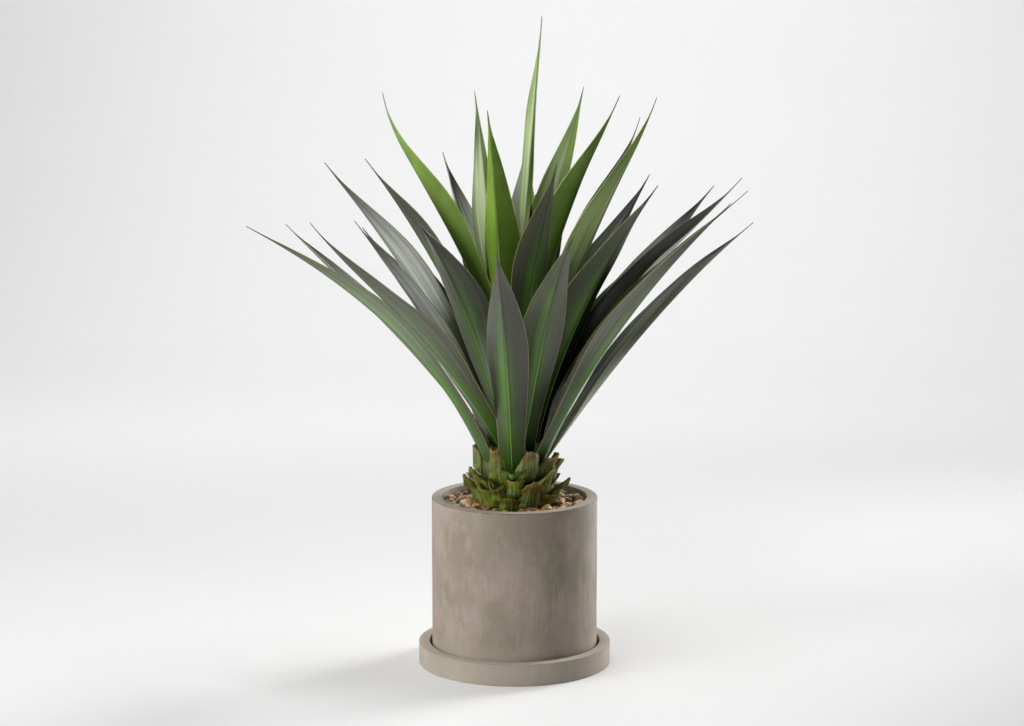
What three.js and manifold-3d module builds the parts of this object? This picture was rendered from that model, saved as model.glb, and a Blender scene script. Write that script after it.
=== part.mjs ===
// A potted agave: keeled leaves and the stubs of trimmed older leaves on one short stem,
// standing in gravel and soil in a concrete pot, which rests in a concrete saucer.
// Millimetres and degrees, +Z up. The origin is the centre of the saucer's underside.
// Azimuth 0 is +X, 90 is +Y (the back) and 270 is the front.

import * as THREE from 'three';
import { mergeVertices } from 'three/addons/utils/BufferGeometryUtils.js';
import Module from 'manifold-3d';

const wasm = await Module();
wasm.setup();

// The gap that neighbouring pieces keep where they rest on each other.
const gap = 0.3;

// The saucer and the pot are plain cast rings with rounded edges.
const saucer = { radius: 154, height: 35, wall: 17.5, floor: 12, edge: 4, corner: 3 };
const pot = { radius: 132.5, height: 259.2, wall: 17.5, floor: 20, edge: 5, corner: 8 };
const potFoot = saucer.floor + gap;
const potFloor = potFoot + pot.floor;
const potBore = pot.radius - pot.wall;

// The filling: soil with a socket for the stem's root end, and a ring of gravel on top.
// The gravel's inner edge slopes away from the stem, under the lowest leaf stubs.
const soilTop = 243;
const gravelTop = 259;
const gravelSlope = { fromStem: 18, height: 11 };
const rootEnd = 196;

// The stem's radius at each height, from the root end to the growing tip.
const stemOutline = [
  [rootEnd, 30], [rootEnd + 12, 46], [rootEnd + 34, 52], [330, 52],
  [360, 46], [420, 34], [500, 22], [600, 10], [640, 4],
];
const stemTip = 644;

// Every leaf follows one pattern. Its width along its length, as a share of its greatest width:
const leafWidths = [
  [0, 0.62], [0.1, 0.62], [0.25, 0.77], [0.4, 0.94], [0.5, 1], [0.6, 0.9],
  [0.7, 0.69], [0.8, 0.43], [0.88, 0.19], [0.93, 0.06], [0.96, 0.03], [1, 0.012],
];
// Leaves that start higher on the stem have narrower necks, over the first part of their length.
const leafNecks = [[330, 1], [430, 0.72], [500, 0.6]];
const neckEnd = 0.3;
// Each half rises from the keel by this angle at the base, the middle and the tip.
const leafFold = [14, 22, 26];
// A leaf is thick at its base and thin at its tip and edges. Its last tenth is a spine.
const leafThick = { base: 7, tip: 2, edgeShare: 0.35, spineFrom: 0.9, spineShare: 0.6 };
const rollEnd = 0.4;
const leafSteps = 12;

// The leaves, each with the azimuth and height where it leaves the stem, its lean from upright
// at its base, middle and tip, its length and width, its roll about its own keel, and its sway,
// which turns its azimuth towards the tip.
const outerLeaves = [
  { azimuth: 209, height: 330, lean: [25, 46, 60], length: 570, width: 66, roll: 13, sway: -12 },
  { azimuth: 164, height: 348, lean: [34, 46, 46], length: 485, width: 66, roll: 2 },
  { azimuth: 241, height: 356, lean: [42, 50, 48], length: 625, width: 72, roll: -13, sway: -19 },
  { azimuth: 266, height: 314, lean: [26, 40, 50], length: 520, width: 72, roll: -7 },
  { azimuth: 285, height: 350, lean: [32, 34, 55], length: 480, width: 70, roll: -6 },
  { azimuth: 325, height: 330, lean: [27, 38, 46], length: 550, width: 72, roll: -4, sway: 7 },
  { azimuth: 351, height: 342, lean: [12, 40, 48], length: 540, width: 40 },
  { azimuth: 10, height: 328, lean: [36, 42, 54], length: 515, width: 70 },
  { azimuth: 37, height: 370, lean: [38, 46, 50], length: 525, width: 62, roll: 26 },
];
const middleLeaves = [
  { azimuth: 184, height: 400, lean: [25, 33, 38], length: 485, width: 70, roll: 36 },
  { azimuth: 203, height: 372, lean: [24, 32, 36], length: 420, width: 66, roll: 19 },
  { azimuth: 205, height: 444, lean: [25, 30, 38], length: 440, width: 66, roll: 11 },
  { azimuth: 244, height: 388, lean: [28, 36, 58], length: 465, width: 72, roll: 7, sway: 6 },
  { azimuth: 285, height: 438, lean: [16, 29, 40], length: 445, width: 66, roll: 8 },
  { azimuth: 323, height: 362, lean: [14, 29, 38], length: 485, width: 72, roll: -16 },
  { azimuth: 328, height: 456, lean: [26, 25, 28], length: 505, width: 70, roll: -10, sway: 30 },
  { azimuth: 15, height: 380, lean: [24, 44, 44], length: 520, width: 70, roll: 8 },
  { azimuth: 30, height: 430, lean: [20, 36, 31], length: 410, width: 62, roll: 20 },
  { azimuth: 31, height: 470, lean: [19, 32, 20], length: 450, width: 60, roll: -6 },
];
const innerLeaves = [
  { azimuth: 205, height: 500, lean: [17, 29, 26], length: 465, width: 68, roll: 14, sway: -18 },
  { azimuth: 135, height: 470, lean: [12, 25, 19], length: 370, width: 60, roll: 2 },
  { azimuth: 139, height: 530, lean: [17, 7, 13], length: 390, width: 56, roll: -9 },
  { azimuth: 250, height: 452, lean: [16, 9, 19], length: 455, width: 66 },
  { azimuth: 37, height: 600, lean: [9, 5, 6], length: 435, width: 28 },
  { azimuth: 62, height: 546, lean: [6, 5, 5], length: 300, width: 50 },
  { azimuth: 51, height: 520, lean: [22, 22, 25], length: 425, width: 66, roll: 3 },
  { azimuth: 331, height: 500, lean: [14, 21, 30], length: 445, width: 68, roll: -14, sway: 12 },
];
const backLeaves = [
  { azimuth: 50, height: 324, lean: [28, 52, 60], length: 540, width: 68 },
  { azimuth: 85, height: 318, lean: [26, 44, 54], length: 540, width: 72 },
  { azimuth: 125, height: 324, lean: [28, 54, 57], length: 530, width: 68 },
  { azimuth: 140, height: 360, lean: [24, 42, 48], length: 500, width: 66 },
  { azimuth: 71, height: 392, lean: [22, 30, 41], length: 525, width: 68 },
  { azimuth: 105, height: 380, lean: [24, 50, 57], length: 520, width: 70 },
  { azimuth: 148, height: 430, lean: [22, 34, 40], length: 390, width: 64 },
  { azimuth: 85, height: 452, lean: [20, 34, 39], length: 430, width: 68 },
];

// The stubs of trimmed leaves clasp the stem like scales. They swell from a thin foot, which
// starts under the stem's surface, and are thinner at their edges than in the middle.
const stubShape = { foot: 1.5, swell: 11, swellEnd: 0.3, edgeShare: 0.35, root: 2 };
const stubSteps = 5;
// Each has a foot and a height, an outward lean, and a width at its foot and at its cut.
const upperStubs = [
  { azimuth: 180, foot: 306, height: 50, lean: 12, width: 34, cut: 14 },
  { azimuth: 241, foot: 300, height: 56, lean: 9, width: 42, cut: 26 },
  { azimuth: 293, foot: 300, height: 54, lean: 9, width: 48, cut: 28 },
  { azimuth: 343, foot: 298, height: 52, lean: 14, width: 40, cut: 14 },
  { azimuth: 10, foot: 290, height: 40, lean: 20, width: 36, cut: 18 },
];
const middleStubs = [
  { azimuth: 206, foot: 276, height: 44, lean: 18, width: 42, cut: 16 },
  { azimuth: 240, foot: 272, height: 31, lean: 14, width: 36, cut: 22 },
  { azimuth: 270, foot: 276, height: 37, lean: 10, width: 34, cut: 22 },
  { azimuth: 320, foot: 276, height: 43, lean: 14, width: 46, cut: 30 },
  { azimuth: 65, foot: 276, height: 46, lean: 18, width: 54, cut: 30 },
  { azimuth: 125, foot: 276, height: 46, lean: 18, width: 54, cut: 28 },
];
const lowerStubs = [
  { azimuth: 194, foot: 254, height: 52, lean: 22, width: 38, cut: 14 },
  { azimuth: 226, foot: 254, height: 42, lean: 16, width: 40, cut: 26 },
  { azimuth: 261, foot: 254, height: 25, lean: 24, width: 36, cut: 26 },
  { azimuth: 296, foot: 254, height: 48, lean: 18, width: 42, cut: 36 },
  { azimuth: 326, foot: 254, height: 27, lean: 30, width: 34, cut: 22 },
  { azimuth: 353, foot: 254, height: 48, lean: 28, width: 36, cut: 14 },
  { azimuth: 35, foot: 254, height: 46, lean: 24, width: 50, cut: 28 },
  { azimuth: 92, foot: 254, height: 44, lean: 24, width: 54, cut: 30 },
  { azimuth: 150, foot: 254, height: 46, lean: 24, width: 52, cut: 28 },
];

const concrete = new THREE.MeshStandardMaterial({ color: 0x8b8276, roughness: 0.9 });
const earth = new THREE.MeshStandardMaterial({ color: 0x3a2f26, roughness: 1 });
const pebbles = new THREE.MeshStandardMaterial({ color: 0x9b8468, roughness: 0.85 });
const stemGreen = new THREE.MeshStandardMaterial({ color: 0x5a6434, roughness: 0.7 });
const stubGreen = new THREE.MeshStandardMaterial({ color: 0x64742f, roughness: 0.65 });
const leafGreen = new THREE.MeshStandardMaterial({ color: 0x4a6a38, roughness: 0.5 });

const around = 48;
const stemAround = 24;
const radians = THREE.MathUtils.degToRad;

// The value of a table of [place, value] rows at any place, with straight lines between them.
function along(table, place) {
  const after = table.findIndex((row) => row[0] >= place);
  if (after === 0) return table[0][1];
  if (after === -1) return table[table.length - 1][1];
  const [p0, v0] = table[after - 1];
  const [p1, v1] = table[after];
  return v0 + (v1 - v0) * (place - p0) / (p1 - p0);
}

// The smooth curve through values at 0, 0.5 and 1.
function through([start, middle, end], t) {
  return start * (1 - t) * (1 - 2 * t) + 4 * middle * t * (1 - t) + end * t * (2 * t - 1);
}

// A quarter arc of an outline, turning about its centre between two angles.
function arc(x, y, radius, from, to) {
  const points = [];
  const steps = 3;
  for (let i = 0; i <= steps; i += 1) {
    const angle = radians(from + (to - from) * i / steps);
    points.push([x + radius * Math.cos(angle), y + radius * Math.sin(angle)]);
  }
  return points;
}

// A solid turned about the vertical axis, from an outline of [radius, height] points.
function turned(outline, sides = around) {
  const points = outline.map(([radius, height]) => new THREE.Vector2(radius, height));
  return new THREE.LatheGeometry(points, sides).rotateX(Math.PI / 2);
}

// A plain round vessel with a rounded rim, foot and inside corner.
function vessel(size, foot) {
  const top = foot + size.height;
  const floor = foot + size.floor;
  const bore = size.radius - size.wall;
  return turned([
    [0, foot],
    ...arc(size.radius - size.edge, foot + size.edge, size.edge, -90, 0),
    ...arc(size.radius - size.edge, top - size.edge, size.edge, 0, 90),
    ...arc(bore + size.edge, top - size.edge, size.edge, 90, 180),
    ...arc(bore - size.corner, floor + size.corner, size.corner, 0, -90),
    [0, floor],
  ]);
}

// The soil fills the pot up to the gravel and has a socket for the stem's root end.
function soil() {
  const radius = potBore - gap;
  const foot = potFloor + gap;
  const socket = stemOutline.filter(([height]) => height < soilTop);
  return turned([
    [0, foot],
    ...arc(radius - pot.corner, foot + pot.corner, pot.corner, -90, 0),
    [radius, soilTop],
    [along(stemOutline, soilTop) + gap, soilTop],
    ...socket.reverse().map(([height, r]) => [r + gap, height - gap]),
    [0, rootEnd - gap],
  ]);
}

// The gravel is one ring as deep as a few stones.
function gravel() {
  const outer = potBore - gap;
  const foot = soilTop + gap;
  const inner = along(stemOutline, foot) + gap;
  const shoulder = gravelTop - gravelSlope.height;
  return turned([
    [inner, foot],
    [outer, foot],
    [outer, gravelTop - gap],
    [inner + gravelSlope.fromStem, gravelTop],
    [inner, shoulder],
    [inner, foot],
  ]);
}

// The stem, or with a margin the room that its neighbours leave for it.
function stem(margin) {
  const side = stemOutline.map(([height, radius]) => [radius + margin, height]);
  return turned([[0, rootEnd - margin], ...side, [0, stemTip + margin]], stemAround);
}

// A closed solid through rings of points. Every ring has the same number of points,
// counter-clockwise when it is seen from the last ring.
function skin(rings) {
  const count = rings[0].length;
  const positions = rings.flat().flatMap((point) => [point.x, point.y, point.z]);
  const index = [];
  for (let i = 0; i + 1 < rings.length; i += 1) {
    for (let j = 0; j < count; j += 1) {
      const a = i * count + j;
      const b = i * count + (j + 1) % count;
      index.push(a, b, a + count, b, b + count, a + count);
    }
  }
  const last = (rings.length - 1) * count;
  for (let j = 1; j + 1 < count; j += 1) {
    index.push(0, j + 1, j, last, last + j, last + j + 1);
  }
  const geometry = new THREE.BufferGeometry();
  geometry.setAttribute('position', new THREE.Float32BufferAttribute(positions, 3));
  geometry.setIndex(index);
  return geometry;
}

// The leaf's keel from base to tip, with the directions across it and out of its inner face.
function leafStations({ azimuth, height, lean, length, roll = 0, sway = 0 }) {
  const stations = [];
  const start = along(stemOutline, height);
  const keel = new THREE.Vector3(
    start * Math.cos(radians(azimuth)), start * Math.sin(radians(azimuth)), height);
  const finer = 4;
  const fine = finer * leafSteps;
  let before = null;
  for (let i = 0; i <= fine; i += 1) {
    const t = i / fine;
    const turn = radians(azimuth + sway * t * t);
    const tilt = radians(through(lean, t));
    const forward = new THREE.Vector3(
      Math.sin(tilt) * Math.cos(turn), Math.sin(tilt) * Math.sin(turn), Math.cos(tilt));
    const inward = new THREE.Vector3(
      -Math.cos(tilt) * Math.cos(turn), -Math.cos(tilt) * Math.sin(turn), Math.sin(tilt));
    const across = new THREE.Vector3(-Math.sin(turn), Math.cos(turn), 0);
    const twist = radians(roll * Math.min(1, t / rollEnd));
    across.applyAxisAngle(forward, twist);
    inward.applyAxisAngle(forward, twist);
    if (before) keel.addScaledVector(before.add(forward), length / fine / 2);
    before = forward;
    if (i % finer === 0) {
      stations.push({ t, keel: keel.clone(), forward: forward.clone(), across, inward });
    }
  }
  return stations;
}

// A leaf with a keel on its outer face and a shallow trough on its inner face. The margin
// makes it larger all over, for the room that its neighbours leave for it.
function leaf(row, margin = 0) {
  const neck = along(leafNecks, row.height);
  const rings = leafStations(row).map(({ t, keel, forward, across, inward }) => {
    const narrowing = 1 - (1 - neck) * Math.max(0, 1 - t / neckEnd) ** 2;
    const half = row.width / 2 * along(leafWidths, t) * narrowing + margin;
    const fold = radians(through(leafFold, t));
    const spine = t > leafThick.spineFrom ? leafThick.spineShare : 1;
    const thick = (leafThick.tip + (leafThick.base - leafThick.tip) * (1 - t) ** 2) * spine;
    const out = half * Math.cos(fold);
    const up = half * Math.sin(fold);
    const point = (side, rise) => keel.clone()
      .addScaledVector(forward, margin * (2 * t - 1))
      .addScaledVector(across, side)
      .addScaledVector(inward, rise);
    const edge = up + thick * leafThick.edgeShare;
    return [
      point(0, -margin), point(out, up - margin), point(out, edge + margin),
      point(0, thick + margin), point(-out, edge + margin), point(-out, up - margin),
    ];
  });
  return skin(rings);
}

// A stub: its outer face swells away from the stem and leans out, its inner face leaves the
// stem a little higher, and its cut end is flat.
function stub({ azimuth, foot, height, lean, width, cut }, margin = 0) {
  const sides = [-1, -0.5, 0, 0.5, 1];
  const rings = [];
  for (let i = 0; i <= stubSteps; i += 1) {
    const t = i / stubSteps;
    const swell = stubShape.swell * (1 - Math.max(0, 1 - t / stubShape.swellEnd) ** 2);
    const leanOut = height * Math.tan(radians(lean)) * t * t;
    const inner = along(stemOutline, foot) - stubShape.root + leanOut;
    const half = (width + (cut - width) * t * t) / 2;
    const z = foot + height * t + margin * (2 * t - 1);
    const place = (side, radius) => {
      const turn = radians(azimuth) + side * (half + margin) / (inner + stubShape.swell);
      return new THREE.Vector3(radius * Math.cos(turn), radius * Math.sin(turn), z);
    };
    const thinning = (side) => 1 - (1 - stubShape.edgeShare) * side * side;
    const thick = (side) => stubShape.foot + swell * thinning(side);
    const outside = sides.map((side) => place(side, inner + thick(side) + margin));
    const inside = sides.map((side) => place(side, inner - margin)).reverse();
    rings.push([...outside, ...inside]);
  }
  return skin(rings);
}

// Cutting one piece back from its neighbours. Only positions are kept.
function toSolid(geometry) {
  const bare = geometry.clone();
  bare.deleteAttribute('normal');
  bare.deleteAttribute('uv');
  const merged = mergeVertices(bare, 1e-4);
  const mesh = new wasm.Mesh({
    numProp: 3,
    vertProperties: new Float32Array(merged.attributes.position.array),
    triVerts: new Uint32Array(merged.index.array),
  });
  return new wasm.Manifold(mesh);
}

function toGeometry(solid) {
  const mesh = solid.getMesh();
  const geometry = new THREE.BufferGeometry();
  geometry.setAttribute('position', new THREE.BufferAttribute(mesh.vertProperties, 3));
  geometry.setIndex(new THREE.BufferAttribute(mesh.triVerts, 1));
  return geometry;
}

const agave = new THREE.Group();

function add(name, geometry, material) {
  geometry.computeVertexNormals();
  const mesh = new THREE.Mesh(geometry, material);
  mesh.name = name;
  agave.add(mesh);
}

// The room kept by the stem and by each piece on it.
const kept = [];

function keep(room) {
  room.computeBoundingBox();
  kept.push({ box: room.boundingBox, solid: toSolid(room) });
}

// Numbered pieces of one kind on the stem, each cut back from the room kept before it.
function addEach(kind, rows, shape, material) {
  rows.forEach((row, i) => {
    const whole = shape(row);
    whole.computeBoundingBox();
    let solid = toSolid(whole);
    for (const neighbour of kept) {
      if (neighbour.box.intersectsBox(whole.boundingBox)) solid = solid.subtract(neighbour.solid);
    }
    add(`${kind}_${String(i + 1).padStart(2, '0')}`, toGeometry(solid), material);
    keep(shape(row, gap));
  });
}

add('saucer', vessel(saucer, 0), concrete);
add('pot', vessel(pot, potFoot), concrete);
add('soil', soil(), earth);
add('gravel', gravel(), pebbles);
add('stem', stem(0), stemGreen);
keep(stem(gap));
addEach('leaf', [...outerLeaves, ...middleLeaves, ...innerLeaves, ...backLeaves], leaf, leafGreen);
addEach('leaf_base', [...upperStubs, ...middleStubs, ...lowerStubs], stub, stubGreen);

export default agave;
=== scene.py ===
import math
import random

import bmesh
import bpy
from mathutils import Euler, Matrix, Vector, noise


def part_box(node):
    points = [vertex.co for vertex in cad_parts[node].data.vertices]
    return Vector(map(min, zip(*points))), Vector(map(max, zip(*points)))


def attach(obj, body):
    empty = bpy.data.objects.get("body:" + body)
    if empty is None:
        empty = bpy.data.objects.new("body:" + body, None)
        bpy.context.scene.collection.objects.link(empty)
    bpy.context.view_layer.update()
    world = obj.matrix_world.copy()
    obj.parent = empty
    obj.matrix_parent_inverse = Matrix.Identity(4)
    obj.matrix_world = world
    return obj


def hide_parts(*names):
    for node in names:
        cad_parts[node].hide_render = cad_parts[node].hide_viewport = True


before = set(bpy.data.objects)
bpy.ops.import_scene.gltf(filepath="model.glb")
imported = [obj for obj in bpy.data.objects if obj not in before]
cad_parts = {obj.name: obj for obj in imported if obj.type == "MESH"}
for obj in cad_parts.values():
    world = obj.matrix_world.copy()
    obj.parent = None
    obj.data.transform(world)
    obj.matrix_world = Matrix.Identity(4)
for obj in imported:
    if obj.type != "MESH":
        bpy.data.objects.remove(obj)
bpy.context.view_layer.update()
print("frame loaded")

# Metres and degrees. Azimuth 0 is +X, 90 is the back, 180 is the left and 270 faces the camera.

camera = {
    "place": (-0.0041, -4.3433, 1.225),
    "pitch": 80.36,  # from straight down
    "lens": 97.5,  # mm, and so is the sensor
    "sensor": 36,
}

room = {
    "width": 5.0,
    "front": -2.2,
    "back": 2.6,  # where the floor curves up behind the plant
    "curve": 1.6,
    "curveSteps": 24,
    "wall": 6.0,
    "wallColour": "efefef",
    "frontColour": "ececec",
    "leftShadowColour": "d4d4d4",
    "shadedFloorColour": "dadada",
    "fibreColour": "e8e8e8",
    "fibres": ((3, 3, 3), 0.3, 0.7),
    "fibreShare": 0.1,
    # between which places the paper's painted shade changes: first sideways, a painted shadow left
    # of the pot, and then from front to back, a darker floor round the pot, which evens out the
    # lamps
    "leftOfPot": (-0.3, 0.1),
    "farLeft": (-0.6, -0.3),
    "besidePot": (-0.27, -0.05),
    "toFloor": (-0.3, 0.5),
    "toWall": (0.5, 2.1),
    "roughness": 0.9,
    "specular": 0.1,
}

lights = [
    # name, place, size, power, what it aims at, how wide its beam spreads
    ("keyFromLeft", (-2.4, -1.4, 1.0), 1.5, 18, (0, 0, 0.4), 100),
    ("wideFromLeft", (-3.1, 0.2, 1.5), 2.6, 20, (0, 0, 0.5), 140),
    ("frontLeft", (-1.3, -2.3, 2.6), 2.0, 20, (-0.6, -0.6, 0), 120),
    ("rimHigh", (2.2, 1.7, 1.2), 1.2, 7.2, (0, 0, 0.3), 50),
    ("rimLow", (1.9, 2.0, 0.55), 0.9, 2, (0, 0, 0.5), 60),
    ("rimSide", (2.5, 1.2, 0.6), 0.9, 3, (0, 0, 0.5), 60),
    ("frontFloor", (0, -2.0, 1.7), 1.2, 6, (0, -1.8, 0), 80),
    ("backdropLeft", (-0.8, 1.5, 3.6), 3.0, 79, (-0.8, 4.2, 1.2), 180),
    ("backdropRight", (1.4, 1.5, 3.6), 2.4, 58, (1.2, 4.2, 1.4), 180),
]
worldLight = {"seen": 0.8, "cast": 0.04}  # what the camera sees, and what lights the plant


# Small helpers

def srgb(code):
    parts = [int(code[i:i + 2], 16) / 255 for i in (0, 2, 4)]
    return tuple(c / 12.92 if c <= 0.04045 else ((c + 0.055) / 1.055) ** 2.4 for c in parts) + (1,)


def blendBetween(low, high, value):  # 0 at low, 1 at high, smooth between
    t = min(1, max(0, (value - low) / (high - low)))
    return t * t * (3 - 2 * t)


def through(values, t):  # the smooth curve through values at 0, 0.5 and 1
    start, middle, end = values
    return start * (1 - t) * (1 - 2 * t) + 4 * middle * t * (1 - t) + end * t * (2 * t - 1)


def along(points, place):  # straight lines between (place, value) points
    for (p0, v0), (p1, v1) in zip(points, points[1:]):
        if place <= p1:
            return v0 + (v1 - v0) * (max(place, p0) - p0) / (p1 - p0)
    return points[-1][1]


def curveAlong(points, place):  # a smooth line through (place, value) points, with no overshoot
    last = len(points) - 2
    i = next((k for k in range(last + 1) if place <= points[k + 1][0]), last)
    steps = [(b[1] - a[1]) / (b[0] - a[0]) for a, b in zip(points, points[1:])]

    def slope(k):
        if k == 0 or k > last:
            return steps[min(k, last)]
        before, after = steps[k - 1], steps[k]
        return 0 if before * after <= 0 else 2 * before * after / (before + after)

    (p0, v0), (p1, v1) = points[i], points[i + 1]
    span = p1 - p0
    t = (place - p0) / span
    return (v0 * (1 + 2 * t) * (1 - t) ** 2 + slope(i) * span * t * (1 - t) ** 2
            + v1 * t * t * (3 - 2 * t) + slope(i + 1) * span * t * t * (t - 1))


def only(piece):  # select one object and make it active
    bpy.ops.object.select_all(action="DESELECT")
    piece.select_set(True)
    bpy.context.view_layer.objects.active = piece


def smooth(piece, angle):  # all but the edges sharper than this
    only(piece)
    bpy.ops.object.shade_smooth_by_angle(angle=math.radians(angle))


def justAdded(name):
    bpy.context.object.name = name
    bpy.ops.object.transform_apply(location=True, scale=True)
    return bpy.context.object


def pick(piece, kind, test):  # in edit mode, select the verts, edges or faces that pass
    bpy.ops.mesh.select_mode(type=kind)
    bpy.ops.mesh.select_all(action="DESELECT")
    mesh = bmesh.from_edit_mesh(piece.data)
    for part in {"VERT": mesh.verts, "EDGE": mesh.edges, "FACE": mesh.faces}[kind]:
        if test(part):
            part.select_set(True)
    mesh.select_flush_mode()
    bmesh.update_edit_mesh(piece.data)


def modifier(piece, kind, **settings):  # add a modifier and apply it
    only(piece)
    added = piece.modifiers.new(kind.lower(), kind)
    for name, value in settings.items():
        setattr(added, name, value)
    bpy.ops.object.modifier_apply(modifier=added.name)


def copyOf(piece, name):
    twin = bpy.data.objects.new(name, piece.data.copy())
    twin.data.name = name
    bpy.context.collection.objects.link(twin)
    return twin


def pointValue(mesh, name, values):  # a number at each vertex, for a material to read
    mesh.attributes.new(name, "FLOAT", "POINT").data.foreach_set("value", values)


def settle(piece, material, slot, *nodes):  # finish a piece: give it its material, hang it on the root and hide the frame's parts it stands for
    piece.data.materials.clear()
    piece.data.materials.append(material)
    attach(piece, "root")
    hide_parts(*nodes)


def node(tree, kind, inputs=None, **settings):
    made = tree.nodes.new("ShaderNode" + kind)
    for name, value in settings.items():  # settings first, because they can change the sockets
        setattr(made, name, value)
    for name, value in (inputs or {}).items():
        if isinstance(value, bpy.types.NodeSocket):
            tree.links.new(value, made.inputs[name])
        else:
            made.inputs[name].default_value = value
    return made


def maths(tree, operation, *values, clamp=False):
    made = node(tree, "Math", dict(enumerate(values)), operation=operation, use_clamp=clamp)
    return made.outputs[0]


def times(tree, first, second, clamp=False):
    return maths(tree, "MULTIPLY", first, second, clamp=clamp)


def linear(tree, value, factor, added):
    return maths(tree, "MULTIPLY_ADD", value, factor, added)


def ramp(tree, value, low, high, start=0, end=1):  # a smooth step from start to end
    made = node(tree, "MapRange", {"Value": value, "From Min": low, "From Max": high,
                                   "To Min": start, "To Max": end}, interpolation_type="SMOOTHSTEP")
    return made.outputs["Result"]


def mix(tree, amount, first, second):  # of two colours, each a socket or a code
    first, second = (srgb(one) if isinstance(one, str) else one for one in (first, second))
    return node(tree, "Mix", {0: amount, 6: first, 7: second}, data_type="RGBA").outputs[2]


def layer(tree, colour, mask, share, code):  # lay one more colour over part of the others
    return mix(tree, times(tree, mask, share), colour, code)


def pointMask(tree, name):  # the numbers that pointValue gave
    return node(tree, "Attribute", attribute_name=name).outputs["Fac"]


def axis(tree, vector, name):
    return node(tree, "SeparateXYZ", {0: vector}).outputs[name]


def newMaterial(name):
    made = bpy.data.materials.new(name)
    made.use_nodes = True
    tree = made.node_tree
    where = node(tree, "TexCoord").outputs["Object"]
    return made, tree, tree.nodes["Principled BSDF"], where


def plug(tree, source, shader, socket):
    tree.links.new(source, shader.inputs[socket])


def finish(tree, shader, look, colour, relief, varied=None):  # varied changes the roughness
    plug(tree, colour, shader, "Base Color")
    if varied is None:
        shader.inputs["Roughness"].default_value = look["roughness"]
    else:
        plug(tree, linear(tree, varied, *look["roughness"]), shader, "Roughness")
    strength, distance = look["bump"]
    bump = node(tree, "Bump", {"Height": relief, "Strength": strength, "Distance": distance})
    plug(tree, bump.outputs["Normal"], shader, "Normal")


# Shader groups that several materials use

def newGroup(name, **kinds):  # a group with these inputs and a mask for its output
    group = bpy.data.node_groups.new(name, "ShaderNodeTree")
    for socket, kind in kinds.items():
        group.interface.new_socket(socket, in_out="INPUT", socket_type="NodeSocket" + kind)
    group.interface.new_socket("Mask", in_out="OUTPUT", socket_type="NodeSocketFloat")
    given = group.nodes.new("NodeGroupInput").outputs
    return group, given, group.nodes.new("NodeGroupOutput").inputs["Mask"]


def makeStreaks():  # noise drawn out along one direction
    group, given, mask = newGroup("streaks", Vector="Vector", Stretch="Vector",
                                  Low="Float", High="Float")
    scaled = node(group, "VectorMath", {0: given["Vector"], 1: given["Stretch"]},
                  operation="MULTIPLY")
    grain = node(group, "TexNoise", {"Vector": scaled.outputs[0], "Scale": 1.0, "Detail": 4.0,
                                     "Roughness": 0.6})
    group.links.new(ramp(group, grain.outputs["Fac"], given["Low"], given["High"]), mask)
    return group


def makeSpecks():  # scattered small spots, fewer in some places
    group, given, mask = newGroup("specks", Vector="Vector", Scale="Float", Size="Float")
    cells = node(group, "TexVoronoi", {"Vector": given["Vector"], "Scale": given["Scale"]})
    thin = node(group, "TexNoise", {"Vector": given["Vector"], "Scale": 40.0})
    reach = times(group, given["Size"], thin.outputs["Fac"])
    inside = maths(group, "SUBTRACT", reach, cells.outputs["Distance"])
    group.links.new(ramp(group, inside, 0, 0.05), mask)
    return group


streaksGroup = makeStreaks()
specksGroup = makeSpecks()


def streaks(tree, vector, stretch, low, high):
    inputs = {"Vector": vector, "Stretch": stretch, "Low": low, "High": high}
    return node(tree, "Group", inputs, node_tree=streaksGroup).outputs["Mask"]


def specks(tree, vector, scale, size):
    inputs = {"Vector": vector, "Scale": scale, "Size": size}
    return node(tree, "Group", inputs, node_tree=specksGroup).outputs["Mask"]


# Materials. Streaks are given as how often they change in a metre along X, Y and Z, and the
# noise at which they start and are full. Specks are given as cells in a metre and the size of
# a speck in its cell. A fade is given as where it starts and ends, and its strength at both.
# A share is how strongly a layer shows. A pair for a value is a factor and what is added.

concreteLook = {
    "body": "887b6f", "warm": "988a7e", "olive": "817867", "pale": "aaa193", "dark": "564d43",
    # rim is the pale colour of the painted light on upward faces and on the saucer
    "rim": "aba395",
    "streaks": {
        "cloud": ((13, 13, 10), 0.42, 0.6),
        "drift": ((22, 22, 9), 0.42, 0.62),
        "brush": ((120, 120, 10), 0.5, 0.75),
        "brushed": ((5, 5, 3), 0.5, 0.6),  # where the brush marks show
        "grain": ((420, 420, 420), 0.3, 0.7),
        "trowel": ((260, 260, 22), 0.4, 0.68),
        "stains": ((42, 42, 16), 0.48, 0.66),
        "worn": ((70, 70, 70), 0.35, 0.6),
        "scratched": ((17, 17, 9), 0.52, 0.6),  # where the scratches show
    },
    "pits": (120, 0.14),
    "pinholes": (300, 0.12),
    # hairline scratches lean across the wall, one every few centimetres
    "scratchLean": -0.7,  # radians
    "scratchesInMetre": 19,
    "scratchWander": 0.9,
    "wanderScale": 6.0,
    "scratchEdge": (0.0, 0.012, 1, 0),
    "layers": [("drift", 0.6, "body"), ("strokes", 0.45, "pale"), ("stains", 0.2, "pale"),
               ("trowel", 0.1, "dark"), ("grain", 0.17, "dark")],
    "pitShare": 0.7, "scratchShare": 0.3,
    # fades by how much a face looks upwards
    # painted light: the faces that look up, as on the rim's top, are painted paler
    "litTopFade": (0.8, 0.98, 0, 0.7),
    "arrisBelow": (0.15, 0.4),
    "arrisAbove": (0.97, 0.8, 0, 1),
    "arrisWear": (0.65, 0.2),
    # painted light: the lowest few centimetres, mostly the saucer, are painted paler
    "foot": (0.02, 0.07, 0.5, 0),  # by height
    "roughness": (0.08, 0.74),
    "brushHeight": 0.4,
    "grainHeight": 0.25,
    "bump": (0.4, 0.0006),
}


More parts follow.
